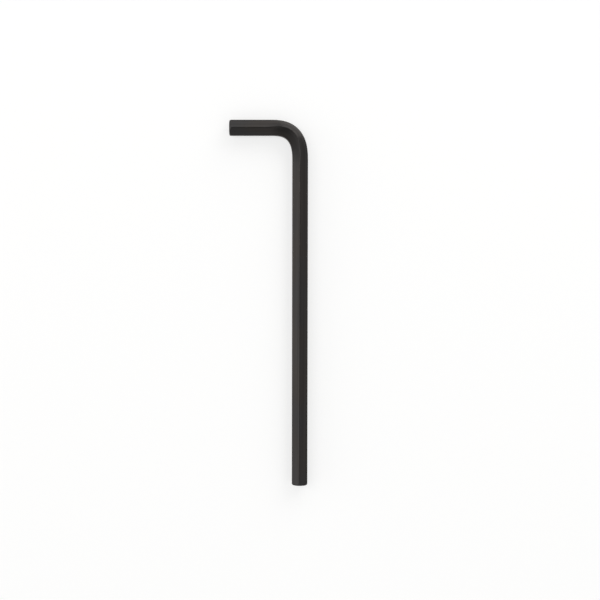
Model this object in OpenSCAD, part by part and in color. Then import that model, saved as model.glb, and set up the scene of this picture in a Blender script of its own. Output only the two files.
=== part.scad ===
// Hex key: an L-shaped bar of hexagonal section, bent from drawn steel bar.
// Both arms keep the plain section of the bar. The bend tightens soon after the
// short arm and opens slowly towards the long one, and there the metal has flowed:
// the inside grows wider, the outside narrower, and the edges on the two sides lie
// nearer to the outside.
// Each tip is turned to a flat face with a chamfer that cuts arcs into the flats.
// The key lies on its side, as on a bench, resting on edges of the section.
// Millimetres, +Z up. The long arm runs along Y, and the short arm points to -X.

/* [Section] */
// Distance across the flats, which is the size of the key
across_flats = 10; // [6:0.5:14]
// Radius that drawing the bar leaves on its six edges
edge_radius = 0.7; // [0.3:0.05:1.2]

/* [Arms] */
// Length of the long arm, from its tip to the outside of the short arm
long_arm = 234; // [120:1:400]
// Length of the short arm, from its tip to the outside of the long arm
short_arm = 50; // [46:1:120]

/* [Bend] */
// Radius on the inside of the bend where it is tightest
bend_radius = 8; // [4:0.1:12]
// How gently the bend tightens and opens again, from a plain arc to a long curve
bend_easing = 1; // [0.1:0.05:1]
// How much nearer to the short arm the tightest place lies, from 0 for half way
bend_skew = 0.2; // [0:0.05:0.4]
// How far the metal has flowed sideways: 0 keeps the plain section, 0.5 the volume
side_flow = 0.75; // [0:0.05:0.8]

/* [Tips] */
// Depth that the chamfer takes off each flat, towards the axis
tip_chamfer = 0.35; // [0.2:0.05:1.5]
// Angle between the chamfer and the axis of the arm
tip_angle = 40; // [30:1:60]

/* [Hidden] */

// The bar and its hexagon
steel_colour = "#3b3836";
sides = 6;
half_side_angle = 180 / sides;
half_flats = across_flats / 2;
edge_centre = (half_flats - edge_radius) / cos(half_side_angle);
half_corners = edge_centre + edge_radius;
edge_steps = 4;
flat_steps = 3;

// The bend, measured along the middle of the bar
bend_angle = 90;
axis_radius = bend_radius + half_flats;
full_curvature = 1 / axis_radius;
plain_arc = axis_radius * bend_angle * PI / 180;
short_ease = bend_easing * plain_arc * (1 - bend_skew);
long_ease = bend_easing * plain_arc * (1 + bend_skew);
bend_length = plain_arc + (short_ease + long_ease) / 2;
bend_rings = 48;
ring_step = bend_length / bend_rings;

// Where the arms lie: the outer faces bound the key, and it is centred on X and Y
long_axis_x = short_arm / 2 - half_flats;
short_axis_y = long_arm / 2 - half_flats;

// Points of one rounded edge of the section, and of the flat that follows it
function edge_points(at) = [
    for (i = [0:edge_steps])
        let (a = at - half_side_angle + 2 * half_side_angle * i / edge_steps)
        edge_centre * [cos(at), sin(at)] + edge_radius * [cos(a), sin(a)]
];
function flat_points(from, to) = [for (i = [1:flat_steps - 1]) from + (to - from) * i / flat_steps];

// Section of the plain bar, as [outwards, upwards], with an edge at the top
section = [
    for (i = [0:sides - 1])
        let (
            here = edge_points(90 + 2 * half_side_angle * i),
            next = edge_points(90 + 2 * half_side_angle * (i + 1))
        )
        each concat(here, flat_points(here[edge_steps], next[0]))
];

// Curvature at distance s along the bend: it swells as a sine squared, holds, and fades
function ease_share(s) = min(1, s / short_ease, (bend_length - s) / long_ease);
function curvature(s) = full_curvature * pow(sin(90 * ease_share(s)), 2);

// Angle that the bar has turned through at distance s: the sum of the curvature so far
function ramp_turn(s, ease) =
    full_curvature * (s / 2 - ease / (2 * PI) * sin(180 * s / ease)) * 180 / PI;
function turn(s) =
    s < short_ease ? ramp_turn(s, short_ease)
    : s > bend_length - long_ease ? bend_angle - ramp_turn(bend_length - s, long_ease)
    : ramp_turn(short_ease, short_ease) + full_curvature * (s - short_ease) * 180 / PI;

// Middle of the bar at each ring of the bend, which starts along +X and ends along -Y
axis_points = [
    for (
        i = 0, p = [0, 0];
        i <= bend_rings;
        p = p + ring_step * [cos(turn((i + 0.5) * ring_step)), -sin(turn((i + 0.5) * ring_step))],
        i = i + 1
    ) p
];
bend_end = axis_points[bend_rings];
short_straight = short_arm - half_flats - bend_end.x;
long_straight = long_arm - half_flats + bend_end.y;
cut_margin = 1;

// A point of the section after the metal has flowed at curvature k. The layer that
// keeps its length lies inside the middle, and the section widens towards the inside.
function neutral_radius(k) = sqrt(pow(1 / k, 2) - half_flats * half_flats);
function flowed(p, k) =
    k <= 0 ? p
    : [
        p.x + side_flow * k * (half_flats * half_flats - p.x * p.x + p.y * p.y) / 2,
        p.y * pow(neutral_radius(k) / (1 / k + p.x), side_flow)
    ];

// Points of the section at distance s along the bend, where the bar's middle is at p
function ring(p, s) =
    let (a = turn(s), k = curvature(s))
    [
        for (q = section)
            let (f = flowed(q, k))
            [p.x + f.x * sin(a), p.y + f.x * cos(a), f.y]
    ];

// Middles of the two tips
short_tip = [-short_straight, 0];
long_tip = bend_end - [0, long_straight];

// The whole bar, swept from the tip of the short arm to the tip of the long one
module bent_bar() {
    rings = [
        ring(short_tip, 0),
        for (i = [0:bend_rings]) ring(axis_points[i], i * ring_step),
        ring(long_tip, bend_length)
    ];
    count = len(section);
    last = len(rings) - 1;
    start_face = [for (j = [0:count - 1]) j];
    end_face = [for (j = [count - 1:-1:0]) last * count + j];
    side_faces = [
        for (i = [0:last - 1], j = [0:count - 1])
            let (
                a = i * count + j,
                b = i * count + (j + 1) % count,
                c = b + count,
                d = a + count
            )
            each [[a, d, c], [a, c, b]]
    ];
    polyhedron([for (r = rings) each r], concat([start_face, end_face], side_faces));
}

// What a lathe takes off a tip that stands on the origin and points down
module tip_waste() {
    face_radius = half_flats - tip_chamfer;
    waste_radius = half_corners + cut_margin;
    rotate_extrude($fn = 96)
        polygon([
            [face_radius - cut_margin * tan(tip_angle), -cut_margin],
            [waste_radius, -cut_margin],
            [waste_radius, (waste_radius - face_radius) / tan(tip_angle)]
        ]);
}

module hex_key() {
    color(steel_colour)
        translate([long_axis_x - bend_end.x, short_axis_y, half_corners])
        difference() {
            bent_bar();
            translate(short_tip)
                rotate([0, 90, 0])
                tip_waste();
            translate(long_tip)
                rotate([-90, 0, 0])
                tip_waste();
        }
}

hex_key();
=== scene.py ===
"""Scene of a long-arm hex key: drawn hexagonal steel bar, bent to an L and black oxide finished.

The key is one piece. It is modelled as it is made: a straight bar gets its chamfered tips
and is then bent, so that every point knows where it lay in the straight bar. The finish uses
those places for the lines that the drawing die leaves along the bar. The key lies on a white
table in soft studio light, seen from above. Sizes are in millimetres until they reach the mesh.
"""

import logging
import math
from collections.abc import Callable
from dataclasses import dataclass, field
from enum import Enum
from functools import cached_property

import bmesh
import bpy
from mathutils import Matrix, Vector


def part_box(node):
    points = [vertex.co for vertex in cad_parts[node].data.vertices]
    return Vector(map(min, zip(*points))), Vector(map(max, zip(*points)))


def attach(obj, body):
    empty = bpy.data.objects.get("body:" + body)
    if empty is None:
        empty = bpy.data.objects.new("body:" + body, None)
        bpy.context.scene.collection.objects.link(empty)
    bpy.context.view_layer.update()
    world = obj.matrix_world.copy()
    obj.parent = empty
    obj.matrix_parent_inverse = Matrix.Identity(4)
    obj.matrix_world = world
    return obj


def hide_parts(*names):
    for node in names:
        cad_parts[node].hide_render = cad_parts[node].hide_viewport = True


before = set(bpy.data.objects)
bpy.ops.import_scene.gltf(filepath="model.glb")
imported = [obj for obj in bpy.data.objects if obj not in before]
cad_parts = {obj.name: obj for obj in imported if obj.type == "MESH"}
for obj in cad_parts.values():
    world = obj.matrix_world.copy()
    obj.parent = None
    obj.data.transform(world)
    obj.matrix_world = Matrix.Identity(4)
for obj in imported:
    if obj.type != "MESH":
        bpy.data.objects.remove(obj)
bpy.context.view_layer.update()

LOG = logging.getLogger("hex_key")
MM = 0.001
# Radians that Blender's wave texture turns through for each unit at scale 1.
WAVE_RATE = 20.0

Point = tuple[float, float, float]


class Trace(Enum):
    """What each point of the bar remembers of how it was made, as the name of a mesh attribute.

    STRAIGHT is its place in the straight bar, in millimetres. STRAIN is how far the bend has
    stretched it, as a share of its length. TURNED is 1 where a lathe has cut it, and otherwise 0.
    """

    STRAIGHT = "straight_bar"
    STRAIN = "bend_strain"
    TURNED = "turned"


def linear(colour: str) -> tuple[float, float, float, float]:
    """Turns an sRGB hex colour to linear.

    Args:
        colour: The colour as "#rrggbb".

    Returns:
        Its linear red, green and blue, and an alpha of 1.
    """
    shares = [int(colour[i : i + 2], 16) / 255 for i in (1, 3, 5)]
    red, green, blue = (c / 12.92 if c <= 0.04045 else ((c + 0.055) / 1.055) ** 2.4 for c in shares)
    return red, green, blue, 1.0


def direction_of(heading: float, elevation: float) -> Vector:
    """Works out a direction.

    Args:
        heading: Its heading in degrees, from +X towards +Y.
        elevation: Its height above the table, in degrees.

    Returns:
        The direction, with a length of 1.
    """
    across, up = math.radians(heading), math.radians(elevation)
    level = math.cos(up)
    return Vector((math.cos(across) * level, math.sin(across) * level, math.sin(up)))


def add_node(
    tree: bpy.types.NodeTree,
    kind: str,
    inputs: dict[str | int, object] | None = None,
    **settings: object,
) -> bpy.types.Node:
    """Adds a node with its settings, values and links.

    Args:
        tree: The node tree that the node goes into.
        kind: Blender's name of the node type.
        inputs: A value, or an output socket to link, for each input socket by name or number.
        **settings: The node's own settings.

    Returns:
        The new node.
    """
    node = tree.nodes.new(kind)
    for name, value in settings.items():
        setattr(node, name, value)
    for name, value in (inputs or {}).items():
        if isinstance(value, bpy.types.NodeSocket):
            tree.links.new(value, node.inputs[name])
        else:
            node.inputs[name].default_value = value
    return node


def soft_share(
    tree: bpy.types.NodeTree,
    value: bpy.types.NodeSocket,
    none: float,
    full: float,
) -> bpy.types.NodeSocket:
    """Turns a value to a share that rises softly from 0 to 1.

    Args:
        tree: The node tree.
        value: The value.
        none: Where the share is 0.
        full: Where the share is 1.

    Returns:
        The share.
    """
    between = {"Value": value, "From Min": none, "From Max": full}
    share = add_node(tree, "ShaderNodeMapRange", between, interpolation_type="SMOOTHSTEP")
    return share.outputs["Result"]


def new_material(name: str) -> bpy.types.Material:
    """Makes an empty node material.

    Args:
        name: The finish in a maker's words.

    Returns:
        The material, with no nodes in it.
    """
    material = bpy.data.materials.new(name)
    material.use_nodes = True
    material.node_tree.nodes.clear()
    return material


@dataclass(frozen=True)
class Marks:
    """Strength of each mark at a point of the steel, as sockets of its material.

    Args:
        clouds: Patches of the coat, from brown black to blue black.
        lines: Drawing lines, on the drawn surface alone.
        line_tone: The same lines with more contrast.
        grains: Raised grains, on the stretched side of the bend.
        rings: Turning rings, on the tips.
    """

    clouds: bpy.types.NodeSocket
    lines: bpy.types.NodeSocket
    line_tone: bpy.types.NodeSocket
    grains: bpy.types.NodeSocket
    rings: bpy.types.NodeSocket


@dataclass(frozen=True)
class BlackOxideSteel:
    """Cold-drawn alloy steel, heat treated, blackened in a hot oxide bath and oiled.

    The bath leaves a coat of magnetite about a micron thick, so the metal's own form and
    drawing lines stay sharp below it. The eye sees a dark metal, between brown and blue black,
    with the soft mirror of a satin surface and no bright edge.

    Sizes and depths of the marks are in millimetres. A mark's roughness is what it adds where it
    is strongest, and a mark's tone is how far it darkens the coat there.
    """

    brown_black: str = "#3d3a38"
    blue_black: str = "#3b3a3a"
    line_black: str = "#2b2928"
    edge_tint: str = "#d8d7d6"
    metallic: float = 1.0
    roughness: float = 0.30
    cloud_size: float = 14.0
    cloud_stretch: float = 2.5
    cloud_detail: float = 2.0
    cloud_roughness: float = 0.05
    # Real drawing lines lie 0.02 to 0.1 mm apart. These are as coarse as they need to be to show.
    line_spacing: float = 1.4
    line_length: float = 90.0
    line_detail: float = 3.0
    line_tone: float = 0.3
    line_roughness: float = 0.06
    line_depth: float = 0.004
    # The outer skin of the bend has stretched, and its grains stand up like orange peel.
    # Real grains lie about 0.1 mm apart. These are as coarse and as high as they need to be to show.
    grain_size: float = 1.5
    grain_detail: float = 2.0
    grain_roughness: float = 0.14
    grain_depth: float = 0.4
    # Real turning marks lie about 0.1 mm apart. These are as coarse as they need to be to show.
    turning_pitch: float = 0.3
    turning_roughness: float = 0.06
    turning_depth: float = 0.006
    # Noise stays near its middle. For contrast, this part of it is spread from 0 to 1.
    noise_low: float = 0.35
    noise_high: float = 0.65

    def material(self) -> bpy.types.Material:
        """Makes the finish.

        Returns:
            The node material.
        """
        material = new_material("drawn_steel_black_oxide_oiled")
        tree = material.node_tree
        marks = self._marks(tree)
        relief = {"Height": self._height(tree, marks), "Distance": 1.0, "Strength": 1.0}
        bump = add_node(tree, "ShaderNodeBump", relief)
        shader = add_node(
            tree,
            "ShaderNodeBsdfPrincipled",
            {
                "Base Color": self._colour(tree, marks),
                "Roughness": self._roughness(tree, marks),
                "Normal": bump.outputs["Normal"],
                "Metallic": self.metallic,
                "Specular Tint": linear(self.edge_tint),
            },
        )
        add_node(tree, "ShaderNodeOutputMaterial", {"Surface": shader.outputs["BSDF"]})
        return material

    def _marks(self, tree: bpy.types.NodeTree) -> Marks:
        """Works out where each mark lies, from the traces on the mesh.

        Args:
            tree: The material's node tree.

        Returns:
            The marks.
        """
        straight, strain, turned = (
            add_node(tree, "ShaderNodeAttribute", attribute_name=trace.value) for trace in Trace
        )
        place = straight.outputs["Vector"]
        on_tip = turned.outputs["Fac"]
        as_drawn = self._sum(tree, [(on_tip, -1.0)], 1.0)
        # The inside of the bend is squeezed. There the strain is negative, and counts as none.
        above_none = {0: strain.outputs["Fac"], 1: 0.0}
        stretch = add_node(tree, "ShaderNodeMath", above_none, operation="MAXIMUM")
        cloud_length = self.cloud_size * self.cloud_stretch
        clouds = self._noise(tree, place, self.cloud_size, cloud_length, self.cloud_detail)
        lines = self._noise(tree, place, self.line_spacing, self.line_length, self.line_detail)
        grains = self._noise(tree, place, self.grain_size, self.grain_size, self.grain_detail)
        rings = add_node(
            tree,
            "ShaderNodeTexWave",
            {"Vector": place, "Scale": 2 * math.pi / (WAVE_RATE * self.turning_pitch)},
            wave_type="RINGS",
            rings_direction="Z",
        )
        return Marks(
            clouds=clouds,
            lines=self._product(tree, lines, as_drawn),
            line_tone=self._product(tree, self._contrast(tree, lines), as_drawn),
            grains=self._product(tree, grains, stretch.outputs[0]),
            rings=self._product(tree, rings.outputs["Fac"], on_tip),
        )

    def _colour(self, tree: bpy.types.NodeTree, marks: Marks) -> bpy.types.NodeSocket:
        """Mixes the coat's colour.

        Args:
            tree: The material's node tree.
            marks: The marks on the surface.

        Returns:
            The colour.
        """
        coat = add_node(
            tree,
            "ShaderNodeMix",
            {
                "Factor": self._contrast(tree, marks.clouds),
                "A": linear(self.brown_black),
                "B": linear(self.blue_black),
            },
            data_type="RGBA",
        )
        lined = add_node(
            tree,
            "ShaderNodeMix",
            {
                "Factor": self._sum(tree, [(marks.line_tone, self.line_tone)], 0.0),
                "A": coat.outputs["Result"],
                "B": linear(self.line_black),
            },
            data_type="RGBA",
        )
        return lined.outputs["Result"]

    def _roughness(self, tree: bpy.types.NodeTree, marks: Marks) -> bpy.types.NodeSocket:
        """Adds up the roughness, which on the plain surface lies about the finish's own.

        Args:
            tree: The material's node tree.
            marks: The marks on the surface.

        Returns:
            The roughness.
        """
        terms = [
            (marks.clouds, self.cloud_roughness),
            (marks.lines, self.line_roughness),
            (marks.grains, self.grain_roughness),
            (marks.rings, self.turning_roughness),
        ]
        return self._sum(tree, terms, self.roughness - (self.cloud_roughness + self.line_roughness) / 2)

    def _height(self, tree: bpy.types.NodeTree, marks: Marks) -> bpy.types.NodeSocket:
        """Adds up the height of the marks.

        Args:
            tree: The material's node tree.
            marks: The marks on the surface.

        Returns:
            The height in metres.
        """
        terms = [
            (marks.lines, self.line_depth * MM),
            (marks.grains, self.grain_depth * MM),
            (marks.rings, self.turning_depth * MM),
        ]
        return self._sum(tree, terms, 0.0)

    def _noise(
        self,
        tree: bpy.types.NodeTree,
        place: bpy.types.NodeSocket,
        across: float,
        along: float,
        detail: float,
    ) -> bpy.types.NodeSocket:
        """Adds noise that is stretched along the bar as it was before the bend.

        Args:
            tree: The material's node tree.
            place: The place in the straight bar, in millimetres.
            across: Size of the pattern across the bar, in millimetres.
            along: Size of the pattern along the bar, in millimetres.
            detail: Number of finer layers that the noise adds.

        Returns:
            The noise.
        """
        scale = (1 / across, 1 / across, 1 / along)
        scaled = add_node(tree, "ShaderNodeMapping", {"Vector": place, "Scale": scale})
        pattern = {"Vector": scaled.outputs["Vector"], "Scale": 1.0, "Detail": detail}
        return add_node(tree, "ShaderNodeTexNoise", pattern).outputs["Fac"]

    def _contrast(self, tree: bpy.types.NodeTree, noise: bpy.types.NodeSocket) -> bpy.types.NodeSocket:
        """Spreads noise over the whole way from 0 to 1."""
        return soft_share(tree, noise, self.noise_low, self.noise_high)

    def _product(
        self,
        tree: bpy.types.NodeTree,
        first: bpy.types.NodeSocket,
        second: bpy.types.NodeSocket,
    ) -> bpy.types.NodeSocket:
        """Multiplies two values."""
        return add_node(tree, "ShaderNodeMath", {0: first, 1: second}, operation="MULTIPLY").outputs[0]

    def _sum(
        self,
        tree: bpy.types.NodeTree,
        terms: list[tuple[bpy.types.NodeSocket, float]],
        start: float,
    ) -> bpy.types.NodeSocket:
        """Adds up weighted values.

        Args:
            tree: The material's node tree.
            terms: Each value with its weight.
            start: What the sum starts from.

        Returns:
            The sum.
        """
        total: bpy.types.NodeSocket | float = start
        for value, weight in terms:
            term = {0: value, 1: weight, 2: total}
            total = add_node(tree, "ShaderNodeMath", term, operation="MULTIPLY_ADD").outputs[0]
        return total


@dataclass(frozen=True)
class WhitePaper:
    """Matt background paper, which reads as plain white and keeps a soft shadow.

    Its own colour is a light grey. What the camera sees of it, itself or in the steel, is lifted.
    """

    colour: str = "#a8a8a7"
    lift: float = 0.69
    roughness: float = 0.9

    def material(self) -> bpy.types.Material:
        """Makes the paper.

        Returns:
            The node material, lifted towards white where it is seen, mirrored or seen through glass.
        """
        material = new_material("matt_white_paper")
        tree = material.node_tree
        rays = add_node(tree, "ShaderNodeLightPath")
        seen: bpy.types.NodeSocket = rays.outputs["Is Camera Ray"]
        for kind in ("Is Glossy Ray", "Is Transmission Ray"):
            either = {0: seen, 1: rays.outputs[kind]}
            seen = add_node(tree, "ShaderNodeMath", either, operation="MAXIMUM").outputs[0]
        lift = add_node(tree, "ShaderNodeMath", {0: seen, 1: self.lift}, operation="MULTIPLY")
        glow = add_node(tree, "ShaderNodeEmission", {"Strength": lift.outputs[0]})
        paper = add_node(
            tree,
            "ShaderNodeBsdfDiffuse",
            {"Color": linear(self.colour), "Roughness": self.roughness},
        )
        layers = {0: paper.outputs["BSDF"], 1: glow.outputs["Emission"]}
        both = add_node(tree, "ShaderNodeAddShader", layers)
        add_node(tree, "ShaderNodeOutputMaterial", {"Surface": both.outputs["Shader"]})
        return material


@dataclass(frozen=True)
class HexSection:
    """Section of the drawn bar: a hexagon with rounded edges, one of them at the top.

    Args:
        half_corners: Half the distance across the rounded edges.
        edge_radius: Radius of the six edges.
        edge_steps: Steps round each edge.
        flat_shares: Places along each flat. The outermost keep the flats' shading flat.
        sides: Number of flats.
    """

    half_corners: float
    edge_radius: float = 0.7
    edge_steps: int = 8
    flat_shares: tuple[float, ...] = (0.015, 0.12, 0.3, 0.5, 0.7, 0.88, 0.985)
    sides: int = 6

    @property
    def edge_centre(self) -> float:
        """Distance from the axis to the centre of an edge's arc."""
        return self.half_corners - self.edge_radius

    @property
    def half_flats(self) -> float:
        """Half the distance across the flats."""
        return self.edge_centre * math.cos(math.pi / self.sides) + self.edge_radius

    def outline(self) -> list[tuple[float, float]]:
        """Works out the points of the section.

        Returns:
            Each point as its distance outwards and upwards from the axis.
        """
        arcs = [self._edge(math.pi / 2 + i * 2 * math.pi / self.sides) for i in range(self.sides)]
        points = []
        for here, following in zip(arcs, arcs[1:] + arcs[:1]):
            start, end = here[-1], following[0]
            points += here
            points += [
                (start[0] + (end[0] - start[0]) * share, start[1] + (end[1] - start[1]) * share)
                for share in self.flat_shares
            ]
        return points

    def _edge(self, middle: float) -> list[tuple[float, float]]:
        """Works out the arc of one rounded edge.

        Args:
            middle: Direction of the edge's middle from the axis, in radians.

        Returns:
            The points of the arc.
        """
        half_turn = math.pi / self.sides
        points = []
        for i in range(self.edge_steps + 1):
            angle = middle + half_turn * (2 * i / self.edge_steps - 1)
            points.append(
                (
                    self.edge_centre * math.cos(middle) + self.edge_radius * math.cos(angle),
                    self.edge_centre * math.sin(middle) + self.edge_radius * math.sin(angle),
                )
            )
        return points


@dataclass(frozen=True)
class EasedBend:
    """Bend of the bar: it tightens soon after the short arm and opens slowly towards the long one.

    Args:
        half_flats: Half the distance across the bar's flats.
        inside_radius: Radius on the inside of the bend where it is tightest.
        skew: How much nearer to the short arm the tightest place lies, from 0 for half way.
        side_flow: How far the metal has flowed sideways. 0 keeps the section, and 0.5 its volume.
        angle: Angle between the arms' directions, in radians.
        steps: Rings of the mesh along the bend.
        fine_steps: Shorter steps between two rings, by which the bar's course is added up.
    """

    half_flats: float
    inside_radius: float = 8.0
    skew: float = 0.2
    side_flow: float = 0.75
    angle: float = math.pi / 2
    steps: int = 96
    fine_steps: int = 8

    @property
    def full_curvature(self) -> float:
        """Curvature of the bar's middle where the bend is tightest."""
        return 1 / (self.inside_radius + self.half_flats)

    @property
    def tightening(self) -> float:
        """Length over which the bend tightens, from the short arm on."""
        return self.angle / self.full_curvature * (1 - self.skew)

    @property
    def opening(self) -> float:
        """Length over which the bend opens again, up to the long arm."""
        return self.angle / self.full_curvature * (1 + self.skew)

    @property
    def length(self) -> float:
        """Length of the bend along the bar's middle, twice that of a plain arc."""
        return self.tightening + self.opening

    def curvature(self, along: float) -> float:
        """Works out the curvature, which swells and fades as a sine squared.

        Args:
            along: Distance along the bend from its start at the short arm.

        Returns:
            The curvature of the bar's middle.
        """
        if not 0 < along < self.length:
            return 0.0
        share = min(along / self.tightening, (self.length - along) / self.opening)
        return self.full_curvature * math.sin(math.pi / 2 * share) ** 2

    def turned(self, along: float) -> float:
        """Works out the angle that the bar has turned through, which is the curvature summed.

        Args:
            along: Distance along the bend from its start at the short arm.

        Returns:
            The angle in radians.
        """
        inside = min(max(along, 0.0), self.length)
        if inside < self.tightening:
            return self._ramp(inside, self.tightening)
        return self.angle - self._ramp(self.length - inside, self.opening)

    def _ramp(self, along: float, length: float) -> float:
        """Works out the angle turned through while the curvature swells.

        Args:
            along: Distance from the straight arm.
            length: Distance at which the curvature is full.

        Returns:
            The angle in radians.
        """
        wave = length / math.pi * math.sin(math.pi * along / length)
        return self.full_curvature * (along - wave) / 2

    @cached_property
    def middle(self) -> list[tuple[float, float]]:
        """Adds up the course of the bar's middle, which starts along +X and ends along -Y.

        Returns:
            Its place at each ring of the bend.
        """
        step = self.length / (self.steps * self.fine_steps)
        x = y = 0.0
        points = [(x, y)]
        for i in range(self.steps * self.fine_steps):
            angle = self.turned((i + 0.5) * step)
            x += step * math.cos(angle)
            y -= step * math.sin(angle)
            if (i + 1) % self.fine_steps == 0:
                points.append((x, y))
        return points

    @property
    def reach(self) -> tuple[float, float]:
        """Lengths that the bend takes up of the short arm and of the long one, to their crossing."""
        x, y = self.middle[-1]
        return x, -y

    def flowed(self, outwards: float, upwards: float, curvature: float) -> tuple[float, float]:
        """Moves a point of the section as the metal flows: wider inside the bend, narrower outside.

        Args:
            outwards: The point's distance from the middle, away from the inside of the bend.
            upwards: The point's height above the middle.
            curvature: Curvature of the bar's middle there.

        Returns:
            The point after the bend, as outwards and upwards.
        """
        if curvature <= 0:
            return outwards, upwards
        neutral = math.sqrt(1 / curvature**2 - self.half_flats**2)
        bow = curvature * (self.half_flats**2 - outwards**2 + upwards**2) / 2
        narrowing = (neutral / (1 / curvature + outwards)) ** self.side_flow
        return outwards + self.side_flow * bow, upwards * narrowing

    def placed(self, point: Point) -> Point:
        """Bends a point of the straight bar.

        Args:
            point: Its distance outwards and upwards from the middle, and along from the bend's start.

        Returns:
            Its place, from the start of the bend.
        """
        outwards, upwards, along = point
        inside = min(max(along, 0.0), self.length)
        x, y = self.middle[round(inside / self.length * self.steps)]
        angle = self.turned(inside)
        over = along - inside
        x += over * math.cos(angle)
        y -= over * math.sin(angle)
        outwards, upwards = self.flowed(outwards, upwards, self.curvature(along))
        return x + outwards * math.sin(angle), y + outwards * math.cos(angle), upwards


@dataclass(frozen=True)
class TurnedTip:
    """Tip of an arm, turned to a flat face with a chamfer that cuts arcs into the flats.

    Args:
        half_flats: Half the distance across the bar's flats.
        chamfer: Depth that the chamfer takes off each flat.
        angle: Angle between the chamfer and the arm's axis, in radians.
        arris_radius: Radius at the chamfer's two edges, which the oxide bath leaves almost sharp.
        arris_steps: Steps round each of these edges.
        clear: Distance from the tip at which the bar's rings are plain again.
        guard: Distance from a rounding to the ring that keeps the shading flat beyond it.
        cone_shares: Places along the chamfer. The outermost keep its shading flat.
        face_shares: Radii of the rings on the face, as shares of its own.
        drawn_rings: Number of rings, counted from the arm, that lie on the drawn surface.
    """

    half_flats: float
    chamfer: float = 0.35
    angle: float = math.radians(40)
    arris_radius: float = 0.15
    arris_steps: int = 3
    clear: float = 2.6
    guard: float = 0.04
    cone_shares: tuple[float, ...] = (0.08, 0.5, 0.92)
    face_shares: tuple[float, ...] = (0.98, 0.75, 0.5, 0.25, 0.08)
    drawn_rings: int = 2

    @property
    def face_radius(self) -> float:
        """Radius of the flat face."""
        return self.half_flats - self.chamfer

    def profile(self, radius: float) -> list[tuple[float, float]]:
        """Works out how the tip's surface runs at one place round the bar.

        Args:
            radius: The bar's own radius there.

        Returns:
            Points as distance from the axis and depth below the face, from the arm to the face.
        """
        depth = (radius - self.face_radius) / math.tan(self.angle)
        outer = self._arris((radius, depth), 0.0, self.angle)
        inner = self._arris((self.face_radius, 0.0), self.angle, math.pi / 2)
        (r0, d0), (r1, d1) = outer[-1], inner[0]
        cone = [(r0 + (r1 - r0) * share, d0 + (d1 - d0) * share) for share in self.cone_shares]
        face = [(self.face_radius * share, 0.0) for share in self.face_shares]
        return [(radius, outer[0][1] + self.guard), *outer, *cone, *inner, *face]

    def _arris(
        self,
        corner: tuple[float, float],
        before: float,
        after: float,
    ) -> list[tuple[float, float]]:
        """Rounds one edge of the chamfer.

        Args:
            corner: The sharp corner, as distance from the axis and depth.
            before: Angle between the axis and the surface on the arm's side, in radians.
            after: The same angle on the face's side.

        Returns:
            The points of the rounding.
        """
        reach = self.arris_radius * math.tan((after - before) / 2)
        radius = corner[0] + reach * math.sin(before) - self.arris_radius * math.cos(before)
        depth = corner[1] + reach * math.cos(before) + self.arris_radius * math.sin(before)
        points = []
        for i in range(self.arris_steps + 1):
            angle = before + (after - before) * i / self.arris_steps
            points.append(
                (
                    radius + self.arris_radius * math.cos(angle),
                    depth - self.arris_radius * math.sin(angle),
                )
            )
        return points


@dataclass
class BarMesh:
    """Mesh of the bar in the making: rings of points round the bar, closed at both tips.

    Args:
        bend: The bend that the straight bar gets.
        origin: Where the start of the bend lies.
    """

    bend: EasedBend
    origin: Point
    mesh: bmesh.types.BMesh = field(default_factory=bmesh.new)

    def __post_init__(self) -> None:
        """Adds a layer for each trace of how the bar was made."""
        layers = self.mesh.verts.layers
        self.straight = layers.float_vector.new(Trace.STRAIGHT.value)
        self.strain = layers.float.new(Trace.STRAIN.value)
        self.turned = layers.float.new(Trace.TURNED.value)

    def point(self, place: Point, turned: float) -> bmesh.types.BMVert:
        """Adds one point.

        Args:
            place: Its place in the straight bar.
            turned: 1 where a lathe has cut the surface, and 0 where it is as drawn.

        Returns:
            The vertex.
        """
        at = [(a + b) * MM for a, b in zip(self.bend.placed(place), self.origin)]
        vertex = self.mesh.verts.new(at)
        vertex[self.straight] = Vector(place)
        vertex[self.strain] = place[0] * self.bend.curvature(place[2])
        vertex[self.turned] = turned
        return vertex

    def join(self, rings: list[list[bmesh.types.BMVert]]) -> None:
        """Spans faces between each ring and the next.

        Args:
            rings: The rings in order along the bar, each with as many points.
        """
        for ring, following in zip(rings, rings[1:]):
            for i, vertex in enumerate(ring):
                last = i - 1
                self.mesh.faces.new((ring[last], vertex, following[i], following[last]))

    def cap(self, ring: list[bmesh.types.BMVert], place: Point) -> None:
        """Closes a tip with a fan.

        Args:
            ring: The innermost ring of the tip's face.
            place: The middle of the face in the straight bar.
        """
        middle = self.point(place, 1.0)
        for i, vertex in enumerate(ring):
            self.mesh.faces.new((ring[i - 1], vertex, middle))

    def to_object(self, name: str) -> bpy.types.Object:
        """Makes the Blender object.

        Args:
            name: The piece's name.

        Returns:
            The object, smooth shaded.
        """
        bmesh.ops.recalc_face_normals(self.mesh, faces=self.mesh.faces)
        for face in self.mesh.faces:
            face.smooth = True
        data = bpy.data.meshes.new(name)
        self.mesh.to_mesh(data)
        self.mesh.free()
        piece = bpy.data.objects.new(name, data)
        bpy.context.scene.collection.objects.link(piece)
        return piece


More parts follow.
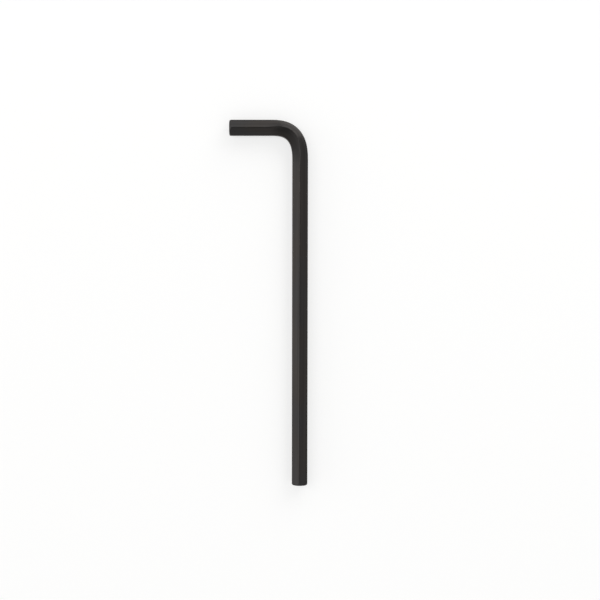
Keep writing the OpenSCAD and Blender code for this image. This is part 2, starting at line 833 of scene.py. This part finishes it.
@dataclass
class HexKey:
    """The whole key, which is one bar.

    Args:
        short_arm: Length of the short arm, to the outside of the long one.
        long_arm: Length of the long arm, to the outside of the short one.
        half_corners: Half the distance across the bar's rounded edges.
        finish: What the steel's surface is.
        ring_spacing: Greatest distance between rings on the straight arms.
    """

    short_arm: float
    long_arm: float
    half_corners: float
    finish: BlackOxideSteel = BlackOxideSteel()
    ring_spacing: float = 4.0

    @classmethod
    def on_node(cls, node: str) -> "HexKey":
        """Takes the key's sizes from its solid in the frame, which is centred on X and Y.

        Args:
            node: Name of the solid.

        Returns:
            The key.
        """
        low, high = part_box(node)
        return cls(-2 * low.x / MM, -2 * low.y / MM, high.z / 2 / MM)

    @cached_property
    def section(self) -> HexSection:
        """Section of the bar."""
        return HexSection(self.half_corners)

    @cached_property
    def bend(self) -> EasedBend:
        """Bend between the arms."""
        return EasedBend(self.section.half_flats)

    @cached_property
    def tip(self) -> TurnedTip:
        """Form of both tips."""
        return TurnedTip(self.section.half_flats)

    @property
    def short_end(self) -> float:
        """Place of the short arm's tip along the bar, from the start of the bend."""
        return -(self.short_arm - self.section.half_flats - self.bend.reach[0])

    @property
    def long_end(self) -> float:
        """Place of the long arm's tip along the bar, from the start of the bend."""
        return self.bend.length + self.long_arm - self.section.half_flats - self.bend.reach[1]

    def build(self) -> bpy.types.Object:
        """Builds the key's mesh.

        Returns:
            The piece.
        """
        start = self.short_arm / 2 - self.section.half_flats - self.bend.reach[0]
        origin = (start, self.long_arm / 2 - self.section.half_flats, self.half_corners)
        bar = BarMesh(self.bend, origin)
        outline = self.section.outline()
        profiles = [self.tip.profile(math.hypot(x, y)) for x, y in outline]
        short_tip = self._tip_rings(bar, outline, profiles, lambda depth: self.short_end + depth)
        long_tip = self._tip_rings(bar, outline, profiles, lambda depth: self.long_end - depth)
        body = [[bar.point((x, y, along), 0.0) for x, y in outline] for along in self._stations()]
        bar.join([*reversed(short_tip), *body, *long_tip])
        bar.cap(short_tip[-1], (0.0, 0.0, self.short_end))
        bar.cap(long_tip[-1], (0.0, 0.0, self.long_end))
        return bar.to_object("hex_key_bar")

    def dress(self, piece: bpy.types.Object) -> None:
        """Gives the key its finish, and its place in the frame.

        Args:
            piece: The key's mesh.
        """
        piece.data.materials.append(self.finish.material())
        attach(piece, "root")
        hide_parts("hex_key")

    def _stations(self) -> list[float]:
        """Works out where the rings of the bar lie between the tips.

        Returns:
            Their distances along the bar, from the start of the bend.
        """
        short_span = (self.short_end + self.tip.clear, 0.0)
        long_span = (self.bend.length, self.long_end - self.tip.clear)
        spans = []
        for start, end in (short_span, long_span):
            count = math.ceil((end - start) / self.ring_spacing)
            spans.append([start + (end - start) * i / count for i in range(count + 1)])
        bend = [self.bend.length * i / self.bend.steps for i in range(1, self.bend.steps)]
        return [*spans[0], *bend, *spans[1]]

    def _tip_rings(
        self,
        bar: BarMesh,
        outline: list[tuple[float, float]],
        profiles: list[list[tuple[float, float]]],
        along: Callable[[float], float],
    ) -> list[list[bmesh.types.BMVert]]:
        """Adds the rings of one tip.

        Args:
            bar: The mesh in the making.
            outline: Points of the section.
            profiles: How the tip's surface runs at each of them.
            along: Gives the place along the bar of a depth below the tip's face.

        Returns:
            The rings, from the arm to the face.
        """
        rings = []
        for i in range(len(profiles[0])):
            turned = 1.0 if i >= self.tip.drawn_rings else 0.0
            ring = []
            for (x, y), profile in zip(outline, profiles):
                radius, depth = profile[i]
                share = radius / math.hypot(x, y)
                ring.append(bar.point((x * share, y * share, along(depth)), turned))
            rings.append(ring)
        return rings


@dataclass(frozen=True)
class Softbox:
    """Studio lamp behind a sheet of diffuser.

    Args:
        name: Where it stands.
        place: Heading from the key, from +X towards +Y, and height above the table, in degrees.
        size: Width and height of the diffuser, in metres.
        radiance: Brightness of the diffuser.
        distance: Distance from the key, in metres.
    """

    name: str
    place: tuple[float, float]
    size: tuple[float, float]
    radiance: float
    distance: float = 1.2

    def build(self) -> bpy.types.Object:
        """Makes the lamp, which points at the key.

        Returns:
            The lamp.
        """
        width, height = self.size
        data = bpy.data.lights.new(self.name, "AREA")
        data.shape = "RECTANGLE"
        data.size = width
        data.size_y = height
        # A sheet of area A and radiance L gives off a power of pi times A times L.
        data.energy = math.pi * width * height * self.radiance
        lamp = bpy.data.objects.new(self.name, data)
        towards = direction_of(*self.place)
        lamp.location = towards * self.distance
        lamp.rotation_mode = "QUATERNION"
        lamp.rotation_quaternion = towards.to_track_quat("Z", "Y")
        lamp.visible_camera = False
        bpy.context.scene.collection.objects.link(lamp)
        return lamp


# The first three light the upper flat on the outside of the short arm and of the bend. The next
# two light the upper flat on the inside of the long arm, and the edge beside it. The last keeps the
# other flats from going black.
SOFTBOXES = (
    Softbox("softbox_upper_right", place=(59.0, 22.0), size=(0.94, 0.76), radiance=2.5),
    Softbox("softbox_strip_upper_right", place=(50.0, 43.0), size=(0.36, 0.24), radiance=3.0),
    Softbox("softbox_beyond_the_bend", place=(98.0, 27.0), size=(0.9, 0.62), radiance=0.65),
    Softbox("softbox_left", place=(183.0, 16.5), size=(1.1, 0.62), radiance=1.36),
    Softbox("softbox_strip_overhead_left", place=(155.0, 62.0), size=(0.18, 0.8), radiance=4.3),
    Softbox("softbox_lower_right", place=(310.0, 60.0), size=(0.7, 0.7), radiance=0.9),
)


@dataclass(frozen=True)
class Room:
    """Plain pale room round the table, with the dark boom of the camera's stand overhead.

    The boom runs along Y. Its sizes are sines of angles, as in the shader's direction.

    Args:
        levels: Brightness by height, where 1 is white. A height is the sine of its elevation.
        boom_middle: How far the middle of the boom lies towards +X from straight overhead.
        boom_half_width: How far to each side of its middle the boom is fully dark.
        boom_edge: How far to each side of its middle the boom ends.
        boom_low: Height at which the boom ends, towards the walls.
        boom_high: Height above which the boom is fully dark.
        boom_level: Brightness of the boom, as a share of the room's.
    """

    levels: tuple[tuple[float, float], ...] = ((0.0, 0.45), (0.5, 0.77), (0.85, 0.52), (1.0, 0.45))
    boom_middle: float = 0.06
    boom_half_width: float = 0.15
    boom_edge: float = 0.36
    boom_low: float = 0.62
    boom_high: float = 0.82
    boom_level: float = 0.15

    def build(self) -> bpy.types.World:
        """Makes the room.

        Returns:
            The world.
        """
        world = bpy.data.worlds.new("pale_room")
        world.use_nodes = True
        tree = world.node_tree
        tree.nodes.clear()
        direction = add_node(tree, "ShaderNodeTexCoord")
        parts = add_node(tree, "ShaderNodeSeparateXYZ", {0: direction.outputs["Generated"]})
        ramp = add_node(tree, "ShaderNodeValToRGB", {"Fac": parts.outputs["Z"]})
        ramp.color_ramp.interpolation = "EASE"
        stops = ramp.color_ramp.elements
        for height, _ in self.levels[1:-1]:
            stops.new(height)
        for stop, (_, level) in zip(stops, self.levels):
            stop.color = (level, level, level, 1.0)
        from_middle = {0: parts.outputs["X"], 1: self.boom_middle}
        across = add_node(tree, "ShaderNodeMath", from_middle, operation="SUBTRACT")
        beside = add_node(tree, "ShaderNodeMath", {0: across.outputs[0]}, operation="ABSOLUTE")
        within = soft_share(tree, beside.outputs[0], self.boom_edge, self.boom_half_width)
        above = soft_share(tree, parts.outputs["Z"], self.boom_low, self.boom_high)
        covered = add_node(tree, "ShaderNodeMath", {0: within, 1: above}, operation="MULTIPLY")
        dimmed = {0: covered.outputs[0], 1: self.boom_level - 1, 2: 1.0}
        strength = add_node(tree, "ShaderNodeMath", dimmed, operation="MULTIPLY_ADD")
        light = add_node(
            tree,
            "ShaderNodeBackground",
            {"Color": ramp.outputs["Color"], "Strength": strength.outputs[0]},
        )
        add_node(tree, "ShaderNodeOutputWorld", {"Surface": light.outputs["Background"]})
        bpy.context.scene.world = world
        return world


@dataclass(frozen=True)
class Table:
    """White table that the key lies on.

    Args:
        side: Length of each side, in metres.
        paper: What the table is covered with.
    """

    side: float = 8.0
    paper: WhitePaper = WhitePaper()

    def build(self) -> bpy.types.Object:
        """Makes the table top.

        Returns:
            The table, as a part of the stage.
        """
        mesh = bmesh.new()
        bmesh.ops.create_grid(mesh, x_segments=1, y_segments=1, size=self.side / 2)
        data = bpy.data.meshes.new("white_table")
        mesh.to_mesh(data)
        mesh.free()
        table = bpy.data.objects.new("white_table", data)
        table.data.materials.append(self.paper.material())
        bpy.context.scene.collection.objects.link(table)
        return table


@dataclass(frozen=True)
class Viewpoint:
    """Camera above the key, a little towards the bend from the middle of the long arm.

    Args:
        place: Where the camera is, in millimetres.
        aim: The point in the middle of the picture, in millimetres.
        roll: Turn of the picture, in degrees.
        lens: Focal length, in millimetres.
        sensor: Width of the sensor, in millimetres.
    """

    place: Point = (26.1, 58.1, 903.6)
    aim: Point = (20.05, 2.43, 5.67)
    roll: float = 0.108
    lens: float = 84.27
    sensor: float = 36.0

    def build(self) -> bpy.types.Object:
        """Makes the camera and chooses it for the scene.

        Returns:
            The camera.
        """
        data = bpy.data.cameras.new("viewpoint")
        data.lens = self.lens
        data.sensor_width = self.sensor
        camera = bpy.data.objects.new("viewpoint", data)
        place = Vector(self.place) * MM
        back = (place - Vector(self.aim) * MM).normalized()
        up = (Vector((0, 1, 0)) - back * back.y).normalized()
        turn = Matrix((up.cross(back), up, back)).transposed().to_4x4()
        roll = Matrix.Rotation(math.radians(self.roll), 4, "Z")
        camera.matrix_world = Matrix.Translation(place) @ turn @ roll
        bpy.context.scene.collection.objects.link(camera)
        bpy.context.scene.camera = camera
        return camera


def main() -> None:
    """Builds the key and the studio round it."""
    logging.basicConfig(level=logging.INFO, format="%(name)s: %(message)s")
    bpy.context.scene.view_settings.view_transform = "Standard"

    key = HexKey.on_node("hex_key")
    piece = key.build()
    key.dress(piece)
    flats = 2 * key.section.half_flats
    LOG.info("%s: %d faces, %.1f mm across the flats", piece.name, len(piece.data.polygons), flats)

    for thing in (*SOFTBOXES, Room(), Table(), Viewpoint()):
        LOG.info("%s", thing.build().name)


if __name__ == "__main__":
    main()
